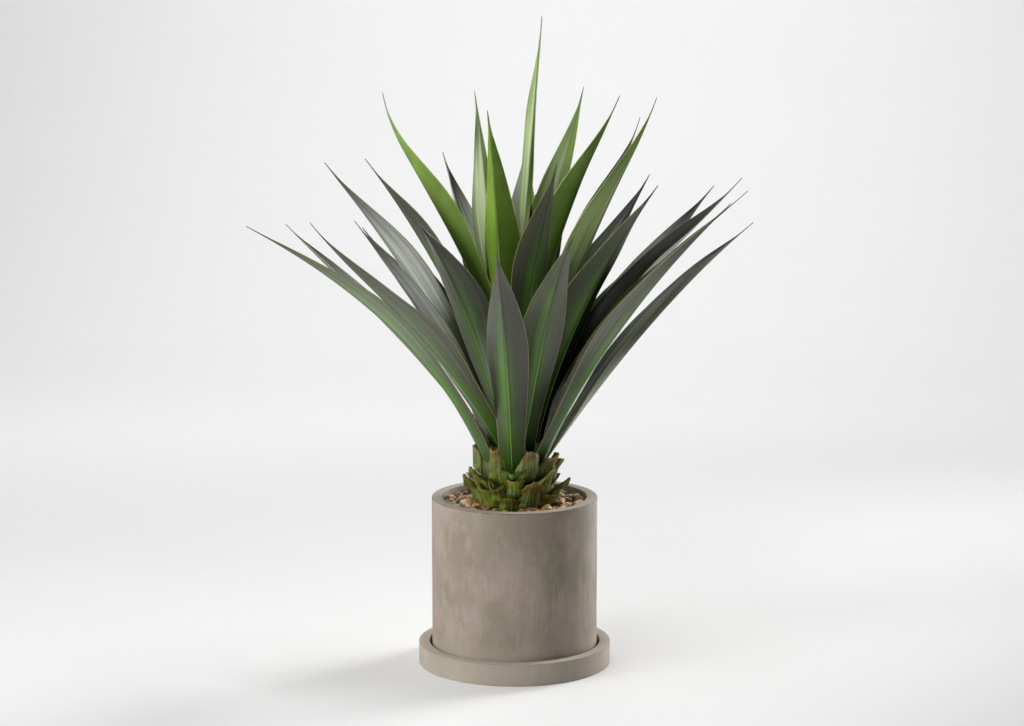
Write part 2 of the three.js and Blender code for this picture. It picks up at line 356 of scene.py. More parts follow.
def concreteMaterial(look):
    made, tree, shader, where = newMaterial("castConcrete")
    masks = {name: streaks(tree, where, *row) for name, row in look["streaks"].items()}
    masks["strokes"] = times(tree, masks["brush"], masks["brushed"])
    pits = maths(tree, "MAXIMUM", specks(tree, where, *look["pits"]),
                 specks(tree, where, *look["pinholes"]))
    leaning = node(tree, "VectorRotate", {"Vector": where, "Angle": look["scratchLean"]},
                   rotation_type="Y_AXIS").outputs[0]
    wander = node(tree, "TexNoise", {"Vector": leaning, "Scale": look["wanderScale"],
                                     "Detail": 1.0})
    lines = times(tree, axis(tree, leaning, "X"), look["scratchesInMetre"])
    lines = linear(tree, wander.outputs["Fac"], look["scratchWander"], lines)
    lines = maths(tree, "PINGPONG", lines, 0.5)
    thread = ramp(tree, lines, *look["scratchEdge"])
    scratch = times(tree, thread, masks["scratched"])

    colour = mix(tree, masks["cloud"], look["olive"], look["warm"])
    for mask, share, code in look["layers"]:
        colour = layer(tree, colour, masks[mask], share, look[code])
    marks = maths(tree, "MAXIMUM", times(tree, pits, look["pitShare"]),
                  times(tree, scratch, look["scratchShare"]))
    colour = mix(tree, marks, colour, look["dark"])
    normal = node(tree, "NewGeometry").outputs["Normal"]
    upward = axis(tree, normal, "Z")
    # painted light on the faces that look up
    colour = mix(tree, ramp(tree, upward, *look["litTopFade"]), colour, look["rim"])
    arris = times(tree, ramp(tree, upward, *look["arrisBelow"]),
                  ramp(tree, upward, *look["arrisAbove"]))
    wear = linear(tree, masks["worn"], *look["arrisWear"])
    colour = mix(tree, times(tree, arris, wear), colour, look["dark"])
    # painted light: the saucer paler low down
    foot = ramp(tree, axis(tree, where, "Z"), *look["foot"])
    colour = mix(tree, foot, colour, look["rim"])
    relief = times(tree, masks["grain"], look["grainHeight"])
    relief = linear(tree, masks["brush"], look["brushHeight"], relief)
    relief = maths(tree, "SUBTRACT", relief, maths(tree, "ADD", pits, scratch))
    finish(tree, shader, look, colour, relief, masks["cloud"])
    return made


earthLook = {
    "wet": "2b211a", "dry": "54412f", "bit": "7a6247",
    "crumbs": ((160, 160, 160), 0.35, 0.65),
    "bits": (260, 0.5),
    "bitShare": 0.4,
    "roughness": 0.95,
    "bump": (0.8, 0.002),
}


def earthMaterial(look):
    made, tree, shader, where = newMaterial("darkEarth")
    crumbs = streaks(tree, where, *look["crumbs"])
    bits = specks(tree, where, *look["bits"])
    colour = mix(tree, crumbs, look["wet"], look["dry"])
    colour = layer(tree, colour, bits, look["bitShare"], look["bit"])
    finish(tree, shader, look, colour, crumbs)
    return made


pebbleLook = {
    "stones": ["4f3620", "b87a36", "dfab62", "ecc88c", "a85f24", "bd9a68", "5f3f22", "f6e8cc",
               "cf9a56"],
    "vein": "f0d8a8", "dusty": "7a4a22", "spot": "2e1f12",
    "veins": ((140, 140, 380), 0.45, 0.6),
    "dust": ((500, 500, 500), 0.42, 0.6),
    "spots": (330, 0.7),
    "shares": (0.5, 0.45, 0.6),
    "roughness": (0.3, 0.2),
    "bump": (0.6, 0.0008),
}


def stoneMaterial(look):
    made, tree, shader, where = newMaterial("riverStone")
    palette = node(tree, "ValToRGB", {"Fac": pointMask(tree, "stoneTone")})
    stops = palette.color_ramp
    stops.interpolation = "CONSTANT"
    for i, code in enumerate(look["stones"]):
        stop = stops.elements[i] if i < 2 else stops.elements.new(i / len(look["stones"]))
        stop.position = i / len(look["stones"])
        stop.color = srgb(code)
    dust = streaks(tree, where, *look["dust"])
    masks = streaks(tree, where, *look["veins"]), dust, specks(tree, where, *look["spots"])
    colour = palette.outputs["Color"]
    for mask, share, code in zip(masks, look["shares"], ("vein", "dusty", "spot")):
        colour = layer(tree, colour, mask, share, look[code])
    finish(tree, shader, look, colour, dust, dust)
    return made


leafLook = {
    # the inner face's near-black colours are partly its own darker colour and partly painted shade
    "charcoal": "36382a", "ash": "4a4c3b", "tip": "505145", "inner": "12110a",
    "innerAsh": "221e14", "green": "668a26", "litGreen": "8cab42", "deep": "334f12",
    "foot": "2c4a10", "glow": "4a7a1a", "midrib": "8fb060", "margin": "8f8656",
    # the silver grey and the pale green next are painted sheen, and the near-black shade is painted
    # shade
    "limeMargin": "a3b750", "sheenSilver": "c8ccc4", "sheenGreen": "cce2a2", "shade": "050602",
    "spine": "352b26",
    "cloud": ((14, 14, 9), 0.35, 0.65),
    # the other streaks are given over the leaf's own map, across it and along it
    "bands": ((9, 0.7, 1), 0.35, 0.65),
    "ribs": ((60, 1.5, 1), 0.3, 0.7),
    "fine": ((170, 4, 1), 0.3, 0.7),
    "ribGrain": 0.4, "bandGrain": 0.6,
    "deepGrainShare": 0.35, "deepInnerShare": 0.3,
    "glowPatches": (0.6, 0.8),
    "glowOutside": (0.78, 0.22),
    # how streaky the painted sheen is
    "sheenBands": 0.75,
    "sheenFine": (0.45, 0.28),
    # fades along the leaf, from 0 at its base to 1 at its tip
    "tipFade": (0.7, 0.92, 0, 0.6),
    # painted shade: green leaves darken toward the base, and painted light: paler patches grow
    # toward the tip
    "shadedBaseRise": (0.15, 0.6),
    "litTipRise": (0.35, 0.85, 0.1, 0.8),
    "footFade": (0.02, 0.22, 0.9, 0),
    "midribFade": (0.3, 0.72, 0.75, 0),
    # fades across the leaf, from 0 at its keel to 1 at its edge
    # painted shade in the fold beside the keel
    "paintedFoldShade": (0.02, 0.2, 0.4, 0),
    "midribWidth": 0.045,
    "marginWidth": 0.035,
    "marginShare": 0.85,
    # where the spine's colour starts and is full: both lie nearer the tip on a green leaf
    "spineStart": (0.045, 0.9),
    "spineFull": (0.04, 0.94),
    "spineShare": 0.85,
    "roughness": (0.1, 0.25),
    "specular": 0.42,
    "dullTone": -0.9,  # the shaded tone at which no gloss is left
    "fineHeight": 0.4,
    "bump": (0.25, 0.0005),
}


def leafMaterial(look):
    made, tree, shader, where = newMaterial("agaveLeaf")
    flat = node(tree, "UVMap", uv_map="leafMap").outputs["UV"]
    v = axis(tree, flat, "Y")
    side = maths(tree, "ABSOLUTE", linear(tree, axis(tree, flat, "X"), 2, -1))
    green = pointMask(tree, "leafGreen")
    shine = pointMask(tree, "leafGlow")
    tone = pointMask(tree, "paintedLightTone")
    inner = pointMask(tree, "innerFace")
    outer = maths(tree, "SUBTRACT", 1, inner)
    cloud = streaks(tree, where, *look["cloud"])
    bands = streaks(tree, flat, *look["bands"])
    ribs = streaks(tree, flat, *look["ribs"])
    fine = streaks(tree, flat, *look["fine"])

    grain = times(tree, bands, look["bandGrain"])
    grain = linear(tree, ribs, look["ribGrain"], grain)
    grey = mix(tree, grain, look["charcoal"], look["ash"])
    # the inner face darker: partly its own colour, partly painted shade
    dark = mix(tree, grain, look["inner"], look["innerAsh"])
    grey = mix(tree, inner, grey, dark)
    grey = mix(tree, ramp(tree, v, *look["tipFade"]), grey, look["tip"])
    # painted shade darkening the green toward the base, then painted light in patches toward the
    # tip
    fresh = mix(tree, ramp(tree, v, *look["shadedBaseRise"]), look["deep"], look["green"])
    fresh = layer(tree, fresh, grain, look["deepGrainShare"], look["deep"])
    litPatches = times(tree, cloud, ramp(tree, v, *look["litTipRise"]))
    fresh = mix(tree, litPatches, fresh, look["litGreen"])
    # the inner face of green leaves darker: partly its own colour, partly painted shade
    fresh = layer(tree, fresh, inner, look["deepInnerShare"], look["deep"])
    patches = linear(tree, cloud, *look["glowPatches"])
    lit = times(tree, shine, patches, clamp=True)
    lit = times(tree, lit, linear(tree, outer, *look["glowOutside"]))
    colour = mix(tree, lit, grey, look["glow"])
    colour = mix(tree, green, colour, fresh)
    colour = mix(tree, ramp(tree, v, *look["footFade"]), colour, look["foot"])
    # painted sheen: a positive tone mixes the colour toward a pale silver or pale green, standing
    # in for highlights and reflections
    wisps = linear(tree, fine, *look["sheenFine"])
    wisps = linear(tree, bands, look["sheenBands"], wisps)
    paintedSheen = times(tree, maths(tree, "MAXIMUM", tone, 0), wisps, clamp=True)
    sheenSilver = mix(tree, green, look["sheenSilver"], look["sheenGreen"])
    colour = mix(tree, paintedSheen, colour, sheenSilver)
    # painted shade: a negative tone mixes the colour toward near-black
    shaded = times(tree, tone, -1, clamp=True)
    colour = mix(tree, shaded, colour, look["shade"])
    # painted shade along the fold beside the keel
    colour = mix(tree, ramp(tree, side, *look["paintedFoldShade"]), colour, look["shade"])
    rib = times(tree, ramp(tree, side, look["midribWidth"], 0.0, 0, 1),
                ramp(tree, v, *look["midribFade"]))
    colour = mix(tree, times(tree, rib, outer), colour, look["midrib"])
    margin = mix(tree, green, look["margin"], look["limeMargin"])
    rim = ramp(tree, side, 1 - look["marginWidth"], 1 - look["marginWidth"] / 3,
               0, look["marginShare"])
    colour = mix(tree, rim, colour, margin)
    tipped = ramp(tree, v, linear(tree, green, *look["spineStart"]),
                  linear(tree, green, *look["spineFull"]),
                  0, look["spineShare"])
    colour = mix(tree, tipped, colour, look["spine"])
    # where no tone is read
    shader.inputs["Specular IOR Level"].default_value = look["specular"]
    gloss = ramp(tree, tone, look["dullTone"], 0, 0, look["specular"])
    plug(tree, gloss, shader, "Specular IOR Level")
    relief = linear(tree, fine, look["fineHeight"], ribs)
    finish(tree, shader, look, colour, relief, fine)
    return made


cutLook = {
    "flesh": "60731a", "shade": "2b3506", "fibre": "b0b04a", "pale": "8ba038", "cut": "62441e",
    # dry is the near-black inside the hollow: dried tissue and painted shade
    "dry": "1a1008", "straw": "858038",
    "cloud": ((60, 60, 60), 0.4, 0.6),
    # the other streaks and the fades are given over the base's own map, as on the leaves
    "fibres": ((30, 0.9, 1), 0.55, 0.66),
    "fine": ((110, 3, 1), 0.3, 0.7),
    "ridgeRise": (0.25, 0.6, 0, 0.4),
    "fineShare": 0.25, "fibreShare": 0.65,
    "ragged": 0.1,  # how far the cut's colours stray up and down
    "brownRise": (0.72, 0.95, 0, 1),
    "hollowRise": (0.3, 0.6),
    "lip": (0.98, 1.06, 0, 0.7),
    "roughness": (0.2, 0.32),
    "fineHeight": 0.5,
    "bump": (0.6, 0.0008),
}


def cutBaseMaterial(look):
    made, tree, shader, where = newMaterial("cutLeafBase")
    flat = node(tree, "UVMap", uv_map="leafMap").outputs["UV"]
    v = axis(tree, flat, "Y")
    inner = pointMask(tree, "innerFace")
    brown = pointMask(tree, "cutBrown")
    ridge = pointMask(tree, "fibreRidge")
    cloud = streaks(tree, where, *look["cloud"])
    fibres = streaks(tree, flat, *look["fibres"])
    fine = streaks(tree, flat, *look["fine"])

    colour = mix(tree, cloud, look["flesh"], look["shade"])
    raised = times(tree, ridge, ramp(tree, v, *look["ridgeRise"]))
    colour = mix(tree, raised, colour, look["pale"])
    colour = layer(tree, colour, fine, look["fineShare"], look["shade"])
    colour = layer(tree, colour, fibres, look["fibreShare"], look["fibre"])
    ragged = linear(tree, cloud, look["ragged"], v)
    ragged = linear(tree, fine, look["ragged"], ragged)
    band = times(tree, ramp(tree, ragged, *look["brownRise"]), brown)
    colour = mix(tree, band, colour, look["cut"])
    # the hollow's inside: dried tissue and painted shade in the recess
    hollow = mix(tree, fine, look["dry"], look["cut"])
    inside = times(tree, inner, ramp(tree, v, *look["hollowRise"]))
    colour = mix(tree, inside, colour, hollow)
    colour = mix(tree, ramp(tree, ragged, *look["lip"]), colour, look["straw"])
    relief = maths(tree, "ADD", fibres, times(tree, fine, look["fineHeight"]))
    finish(tree, shader, look, colour, relief, fine)
    return made


barkLook = {
    "green": "4b5a28", "brown": "5d4a2c", "dark": "38301c",
    "bark": ((60, 60, 18), 0.35, 0.65),
    "fine": ((300, 300, 40), 0.3, 0.7),
    "fineShare": 0.4,
    "roughness": 0.75,
    "bump": (0.6, 0.001),
}


def stemMaterial(look):
    made, tree, shader, where = newMaterial("fibrousStem")
    bark = streaks(tree, where, *look["bark"])
    fine = streaks(tree, where, *look["fine"])
    colour = mix(tree, bark, look["green"], look["brown"])
    colour = layer(tree, colour, fine, look["fineShare"], look["dark"])
    finish(tree, shader, look, colour, fine)
    return made


def studioMaterial():
    made, tree, shader, where = newMaterial("studioPaper")
    fibres = streaks(tree, where, *room["fibres"])
    sideways, depth = axis(tree, where, "X"), axis(tree, where, "Y")
    # painted shadow on the paper left of the pot
    left = times(tree, ramp(tree, sideways, *room["leftOfPot"], 1, 0),
                 ramp(tree, depth, *room["besidePot"]))
    left = maths(tree, "MAXIMUM", left, ramp(tree, sideways, *room["farLeft"], 1, 0))
    front = mix(tree, left, room["frontColour"], room["leftShadowColour"])
    # painted shade: the floor round the pot darker than the front and the wall
    colour = mix(tree, ramp(tree, depth, *room["toFloor"]), front, room["shadedFloorColour"])
    colour = mix(tree, ramp(tree, depth, *room["toWall"]), colour, room["wallColour"])
    colour = layer(tree, colour, fibres, room["fibreShare"], room["fibreColour"])
    plug(tree, colour, shader, "Base Color")
    shader.inputs["Roughness"].default_value = room["roughness"]
    shader.inputs["Specular IOR Level"].default_value = room["specular"]
    return made


concrete = concreteMaterial(concreteLook)
earth = earthMaterial(earthLook)
riverStone = stoneMaterial(pebbleLook)
leafSkin = leafMaterial(leafLook)
cutFlesh = cutBaseMaterial(cutLook)
stemSkin = stemMaterial(barkLook)
print("materials made")


# Pot and saucer

vesselLook = {
    "sides": 160, "rings": 12, "edgeSteps": 4, "edgeAngle": 50, "smoothAngle": 35,
    "uneven": 0.00025, "unevenScale": 14,
}
potLook = {"wall": 0.0175, "floor": 0.020, "edge": 0.0015}
saucerLook = {"wall": 0.0175, "floor": 0.012, "edge": 0.0014}


def makeVessel(name, cadNode, look):
    low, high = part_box(cadNode)
    height = high[2] - low[2]
    radius = (high[0] - low[0]) / 2
    bpy.ops.mesh.primitive_cylinder_add(vertices=vesselLook["sides"], radius=radius, depth=height,
                                        location=(0, 0, (low[2] + high[2]) / 2))
    vessel = justAdded(name)
    bpy.ops.object.mode_set(mode="EDIT")
    pick(vessel, "FACE", lambda face: face.normal.z > 0.9)
    bpy.ops.mesh.inset(thickness=look["wall"])
    bpy.ops.mesh.extrude_region_move(
        TRANSFORM_OT_translate={"value": (0, 0, look["floor"] - height)})
    bpy.ops.mesh.inset(thickness=radius / 3)
    pick(vessel, "FACE", lambda face: face.normal.z < -0.9)
    bpy.ops.mesh.inset(thickness=radius / 3)
    pick(vessel, "EDGE", lambda edge: abs(edge.verts[0].co.z - edge.verts[1].co.z) > height / 2)
    bpy.ops.mesh.subdivide(number_cuts=vesselLook["rings"])
    bpy.ops.object.mode_set(mode="OBJECT")
    modifier(vessel, "BEVEL", width=look["edge"], segments=vesselLook["edgeSteps"],
             limit_method="ANGLE", angle_limit=math.radians(vesselLook["edgeAngle"]))
    for vertex in vessel.data.vertices:  # hand-cast walls are never quite true
        swell = noise.noise(vertex.co * vesselLook["unevenScale"]) * vesselLook["uneven"]
        vertex.co.x *= 1 + swell / radius
        vertex.co.y *= 1 + swell / radius
    smooth(vessel, vesselLook["smoothAngle"])
    return vessel


saucer = makeVessel("concreteSaucer", "saucer", saucerLook)
settle(saucer, concrete, "concrete", "saucer")
pot = makeVessel("concretePot", "pot", potLook)
settle(pot, concrete, "concrete", "pot")
print("pot and saucer cast")


# Soil stays as it is, under the stones

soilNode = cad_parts["soil"]
soilNode.data.materials.clear()
soilNode.data.materials.append(earth)


# Stones

stoneLook = {
    "shapes": 6,
    "radius": (0.0058, 0.0098),
    "flatness": (0.6, 0.85),
    "ring": (0.056, 0.1145),
    "spacing": 0.0128,
    "bed": 0.2535,  # height of the lower stones' middles
    "top": 0.2605,
    "topShare": 0.55,
    "lift": 0.0015,
    "stray": 0.2,  # from its ring, in spacings
    "straySideways": 0.25,
    "tilt": 0.5,  # radians
    "longest": 1.25,
    # how often a stone's surface rises and falls, and how far
    "lumps": (0.9, 0.28),
    "dents": (2.7, 0.07),
    "apart": 7.1,  # in the noise, so that no two shapes are alike
    "seed": 41,
}


def makeStoneShape(index):
    bpy.ops.mesh.primitive_ico_sphere_add(subdivisions=2, radius=1)
    stone = bpy.context.object
    stone.name = f"stoneShape{index}"
    (lumpScale, lump), (dentScale, dent) = stoneLook["lumps"], stoneLook["dents"]
    for vertex in stone.data.vertices:
        place = vertex.co * lumpScale + Vector((index * stoneLook["apart"], 0, 0))
        vertex.co *= 1 + lump * noise.noise(place) + dent * noise.noise(place * dentScale)
    return stone


def placeStone(mesh, shape, place, size, flat, tone, draw):
    tilt = stoneLook["tilt"]
    turn = Euler([draw.uniform(-tilt, tilt), draw.uniform(-tilt, tilt), draw.uniform(0, math.tau)])
    length = size * draw.uniform(1, stoneLook["longest"])
    shaped = Matrix.Diagonal((length, size, size * flat, 1))
    start = len(mesh.verts)
    mesh.from_mesh(shape.data)
    mesh.verts.ensure_lookup_table()
    move = Matrix.Translation(place) @ turn.to_matrix().to_4x4() @ shaped
    tones = mesh.verts.layers.float["stoneTone"]
    for vertex in mesh.verts[start:]:
        vertex.co = move @ vertex.co
        vertex[tones] = tone


def makeStones():
    draw = random.Random(stoneLook["seed"])
    shapes = [makeStoneShape(i) for i in range(stoneLook["shapes"])]
    mesh = bmesh.new()
    mesh.verts.layers.float.new("stoneTone")
    inner, outer = stoneLook["ring"]
    gap = stoneLook["spacing"]
    stray, aside, lift = (stoneLook[name] for name in ("stray", "straySideways", "lift"))
    rings = int((outer - inner) / gap)
    for course, height in enumerate((stoneLook["bed"], stoneLook["top"])):
        for i in range(rings + 1):
            radius = inner + gap * (i + 0.5 * course)
            count = int(math.tau * radius / gap)
            for j in range(count):
                if course and draw.random() > stoneLook["topShare"]:
                    continue
                size = draw.uniform(*stoneLook["radius"])
                away = min(radius + draw.uniform(-stray, stray) * gap, outer - size)
                angle = math.tau * (j + draw.uniform(-aside, aside)) / count + i
                place = Vector((away * math.cos(angle), away * math.sin(angle),
                                height + draw.uniform(-lift, lift)))
                placeStone(mesh, draw.choice(shapes), place, size,
                           draw.uniform(*stoneLook["flatness"]), draw.random(), draw)
    stones = bpy.data.objects.new("gravelStones", bpy.data.meshes.new("gravelStones"))
    mesh.to_mesh(stones.data)
    mesh.free()
    bpy.context.collection.objects.link(stones)
    for shape in shapes:
        bpy.data.objects.remove(shape)
    only(stones)
    bpy.ops.object.shade_smooth()
    return stones


stones = makeStones()
settle(stones, riverStone, "gravel", "gravel")
print("stones laid")


# Stem

stemLook = {
    # height and radius, from the root end in the soil to the growing tip
    "outline": [(0.196, 0.030), (0.208, 0.046), (0.230, 0.052), (0.330, 0.052), (0.360, 0.046),
                (0.420, 0.034), (0.500, 0.022), (0.600, 0.010), (0.640, 0.004)],
    "sides": 48,
    "cuts": 4,
    "knobbly": 0.0012,
    "knobScale": 90,
    "smoothAngle": 50,
}


def makeStem():
    outline = stemLook["outline"]
    height, radius = outline[0]
    bpy.ops.mesh.primitive_circle_add(vertices=stemLook["sides"], radius=radius,
                                      location=(0, 0, height), fill_type="NGON")
    stem = justAdded("stemHeart")
    bpy.ops.object.mode_set(mode="EDIT")
    bpy.ops.mesh.select_all(action="SELECT")
    for nextHeight, nextRadius in outline[1:]:
        bpy.ops.mesh.extrude_region_move(
            TRANSFORM_OT_translate={"value": (0, 0, nextHeight - height)})
        scale = nextRadius / radius
        bpy.ops.transform.resize(value=(scale, scale, 1), center_override=(0, 0, nextHeight))
        height, radius = nextHeight, nextRadius
    pick(stem, "EDGE", lambda edge: abs(edge.verts[0].co.z - edge.verts[1].co.z) > 0.005)
    bpy.ops.mesh.subdivide(number_cuts=stemLook["cuts"])
    bpy.ops.mesh.select_all(action="SELECT")
    bpy.ops.mesh.normals_make_consistent(inside=False)
    bpy.ops.object.mode_set(mode="OBJECT")
    for vertex in stem.data.vertices:
        away = math.hypot(vertex.co.x, vertex.co.y)
        if away > 0.001:
            push = noise.noise(vertex.co * stemLook["knobScale"]) * stemLook["knobbly"]
            vertex.co.x *= 1 + push / away
            vertex.co.y *= 1 + push / away
    smooth(stem, stemLook["smoothAngle"])
    return stem


def stemRadius(height):
    return along(stemLook["outline"], height)


stem = makeStem()
settle(stem, stemSkin, "stem", "stem")
print("stem turned")


# A block from which leaves and leaf bases are shaped. X runs across it from -0.5 to 0.5, Y
# along it from 0 to 1 and Z through it from 0 to 1.

blankSmoothAngle = 60


def makeBlank(name, across, upwards):
    bpy.ops.mesh.primitive_grid_add(x_subdivisions=across, y_subdivisions=upwards, size=1,
                                    location=(0, 0.5, 0))
    blank = justAdded(name)
    blank.data.uv_layers[0].name = "leafMap"
    modifier(blank, "SOLIDIFY", thickness=1, offset=1)
    smooth(blank, blankSmoothAngle)
    return blank


# Leaves

leafShape = {
    "seed": 7,
    "across": 24,
    "along": 64,
    # width along the leaf, as a share of its greatest width
    "widths": [(0, 0.62), (0.1, 0.62), (0.25, 0.77), (0.4, 0.94), (0.5, 1), (0.6, 0.9),
               (0.7, 0.69), (0.8, 0.43), (0.88, 0.21), (0.93, 0.09), (0.96, 0.055), (1, 0.02)],
    "uneven": 0.03,  # in the width
    # leaves that start higher on the stem have narrower necks
    "necks": [(0.330, 1), (0.430, 0.72), (0.500, 0.6)],
    "neckEnd": 0.3,
    "fold": (16, 26, 32),
    "cup": (0.02, 0.16),  # how far the edges rise above a straight fold, in half widths
    "crease": (0.03, 0.12),  # a second, slighter fold beside the keel
    "creaseAt": (0.35, 0.6),
    "creaseSoft": 0.004,
    "base": 0.007,
    "tip": 0.002,
    "edgeShare": 0.3,  # of the thickness
    "spine": (0.9, 0.95),
    "spineThin": 0.4,
    "rollEnd": 0.4,
    "keelRound": 0.0009,
    "rooted": 0.012,  # how far the base runs on into the stem
    "rootEnd": 0.05,
    "hookFrom": 0.8,
    "hookSpan": 0.2,
    "wave": 0.0022,
    "pace": (5, 9),  # of the waves and the unevenness
    # the green glow beside the keel
    "glowAt": (-0.3, 0.3),
    "glowPower": (0.75, 1.1),
    "glowSpread": 0.6,
    "glowNarrows": 0.42,
    "glowFade": (0.4, 0.88),
    # the painted sheen and painted shade of the two halves
    "halfBlend": 0.12,
    "greenEdge": 1.2,
    "toneRise": (0.2, 0.5),
    "toneFade": (0.6, 0.92),
}

# azimuth, height on the stem, lean at base, middle and tip, length, width, roll, sway, how
# green it is, and how far its tip hooks upwards
leafRows = [
    # outer leaves
    (209, 0.330, (25, 46, 60), 0.570, 0.063, 13, -12, 0.15, 0),
    (164, 0.348, (34, 46, 46), 0.485, 0.066, 2, 0, 0.1, 0),
    (241, 0.356, (43, 51.6, 49), 0.620, 0.067, -13, -19, 0.1, 0.006),
    (266, 0.314, (26, 40, 50), 0.520, 0.072, -7, 0, 0, 0),
    (285, 0.350, (32, 34, 55), 0.480, 0.070, -6, 0, 0.05, 0),
    (325, 0.330, (27, 38, 46), 0.550, 0.060, -4, 7, 0.05, 0),
    (351, 0.342, (12, 40, 48), 0.540, 0.040, 0, 0, 0.05, 0),
    (10, 0.328, (36, 41, 51), 0.505, 0.070, 0, 0, 0, 0),
    (37, 0.370, (38, 45.5, 49), 0.528, 0.060, 26, 0, 0, 0),
    # middle leaves
    (184, 0.400, (25, 33, 38), 0.485, 0.070, 36, 0, 0, 0),
    (203, 0.372, (25, 33, 37), 0.420, 0.052, 19, 0, 0, 0),
    (205, 0.444, (25, 30, 38), 0.440, 0.066, 11, 0, 0, 0),
    (241.5, 0.388, (28, 36, 58), 0.460, 0.070, 7, 6, 0.05, 0),
    (285, 0.438, (16, 29, 40), 0.445, 0.066, 8, 0, 0, 0),
    (323, 0.362, (14, 29, 38), 0.485, 0.072, -16, 0, 0.05, 0),
    (328, 0.456, (26, 25, 28), 0.505, 0.070, -10, 30, 0.95, 0.008),
    (15, 0.380, (24, 44, 44), 0.520, 0.070, 8, 0, 0, 0),
    (30, 0.430, (20, 36, 31), 0.410, 0.062, 20, 0, 0, 0),
    (31, 0.470, (19, 32, 20), 0.450, 0.060, -6, 0, 0, 0),
    # inner leaves
    (205, 0.500, (17, 29, 26), 0.465, 0.068, 14, -18, 0.9, 0.014),
    (135, 0.470, (12, 25, 19), 0.370, 0.060, 2, 0, 0, 0),
    (139, 0.530, (17, 7, 13), 0.390, 0.050, -84, 0, 0.7, 0),
    (250, 0.452, (16, 9, 19), 0.455, 0.066, 0, 0, 1.0, 0),
    (37, 0.600, (9, 5, 6), 0.435, 0.033, 0, 0, 1.0, 0),
    (62, 0.546, (6, 5, 5), 0.300, 0.050, 0, 0, 0.1, 0),
    (51, 0.520, (22, 22, 25), 0.425, 0.066, 3, 0, 0.9, 0.006),
    (331, 0.500, (14, 21, 30), 0.445, 0.068, -14, 12, 0.85, 0.006),
    # back leaves
    (50, 0.324, (28, 52, 60), 0.540, 0.068, 0, 0, 0.1, 0),
    (85, 0.318, (26, 44, 54), 0.540, 0.072, 0, 0, 0.05, 0),
    (125, 0.324, (28, 54, 57), 0.530, 0.068, 0, 0, 0.1, 0),
    (140, 0.360, (24, 42, 48), 0.500, 0.066, 0, 0, 0, 0),
    (71, 0.392, (22, 30, 41), 0.525, 0.068, 0, 0, 0.05, 0),
    (105, 0.380, (24, 50, 57), 0.520, 0.070, 0, 0, 0, 0),
    (148, 0.430, (22, 34, 40), 0.390, 0.064, 0, 0, 0.1, 0),
    (85, 0.452, (20, 34, 39), 0.430, 0.068, 0, 0, 0.6, 0.005),
]


# how much painted sheen (above 0) or painted shade (below 0) a leaf's two halves carry, each low
# down and then higher up. The half on the side of the greater azimuths comes first.
paintedHalfTones = {
    1: ((0, 0.25), (-0.8, -0.5)),
    2: ((-1, -0.4), (0.6, 0.9)),
    3: ((0, 0.15), (-0.6, -0.9)),
    4: ((-0.3, 0), (-0.2, 0.08)),
    5: ((-0.7, -0.1), (0.1, 0.08)),
    6: ((0, 0.1), (-0.1, 0.2)),
    7: ((-0.2, -0.1), (0.1, -0.1)),
    8: ((0.3, 0.6), (0.15, -0.76)),
    9: ((0, 2), (0.8, 0)),
    10: ((-0.6, 0.8), (0, 0.2)),
    11: ((-0.4, 0.9), (0, 0.45)),
    12: ((0.3, 0.1), (0, 0.1)),
    13: ((0.6, 0.15), (-0.1, -0.35)),
    14: ((0.3, 0), (0, 0)),
    15: ((-1, -0.9), (-0.7, -0.35)),
    16: ((-0.4, -0.6), (0.1, 0.65)),
    17: ((-1, 0), (-1, 0.3)),
    18: ((0, 1), (0, 0.1)),
    20: ((-0.2, 0.05), (0, 0)),
    21: ((0, 0.8), (0.5, 1)),
    22: ((0.8, 1.4), (-0.6, -0.45)),
    23: ((-0.3, -0.4), (0.05, 0)),
    24: ((1.3, 0.6), (0.6, -0.7)),
    25: ((1.2, 2), (0, 0)),
    26: ((1.5, 0.8), (0, 0.1)),
    27: ((-0.1, -1), (0.1, -0.2)),
    28: ((0, 0), (0.3, 0)),
}
plainPaintedTones = ((-0.3, 0), (-0.3, 0))  # of the leaves that have none of their own


# the keel's place and the directions forward, across and inward, at each step from the base
def leafRoute(azimuth, height, lean, length, roll, sway):
    start = stemRadius(height)
    facing = math.radians(azimuth)
    keel = Vector((start * math.cos(facing), start * math.sin(facing), height))
    steps = leafShape["along"]
    route = []
    before = None
    for i in range(steps + 1):
        t = i / steps
        turn = math.radians(azimuth + sway * t * t)
        tilt = math.radians(through(lean, t))
        outward = Vector((math.cos(turn), math.sin(turn), 0))
        upward = Vector((0, 0, 1))
        forward = outward * math.sin(tilt) + upward * math.cos(tilt)
        inward = upward * math.sin(tilt) - outward * math.cos(tilt)
        across = upward.cross(outward)
        twist = math.radians(roll * min(1, t / leafShape["rollEnd"]))
        rolled = across * math.cos(twist) + inward * math.sin(twist)
        inward = inward * math.cos(twist) - across * math.sin(twist)
        if before:
            keel = keel + (before + forward) * (length / steps / 2)
        before = forward
        route.append((keel, forward, rolled, inward))
    return route


def leafThickness(share, t):
    shape = leafShape
    thick = shape["tip"] + (shape["base"] - shape["tip"]) * (1 - t) ** 2
    thick *= 1 - shape["spineThin"] * blendBetween(*shape["spine"], t)
    return thick * (1 - (1 - shape["edgeShare"]) * share * share)


def paintedLightTone(share, t, tones, green):
    shape = leafShape
    first = blendBetween(-shape["halfBlend"], shape["halfBlend"], -share)
    low, high = (a * first + b * (1 - first) for a, b in zip(*tones))
    if green > 0.5 and high > 0:  # the painted sheen of green leaves is palest beside the fold
        high *= shape["greenEdge"] - share * share
    raised = blendBetween(*shape["toneRise"], t)
    return (low * (1 - raised) + high * raised) * (1 - blendBetween(*shape["toneFade"], t))


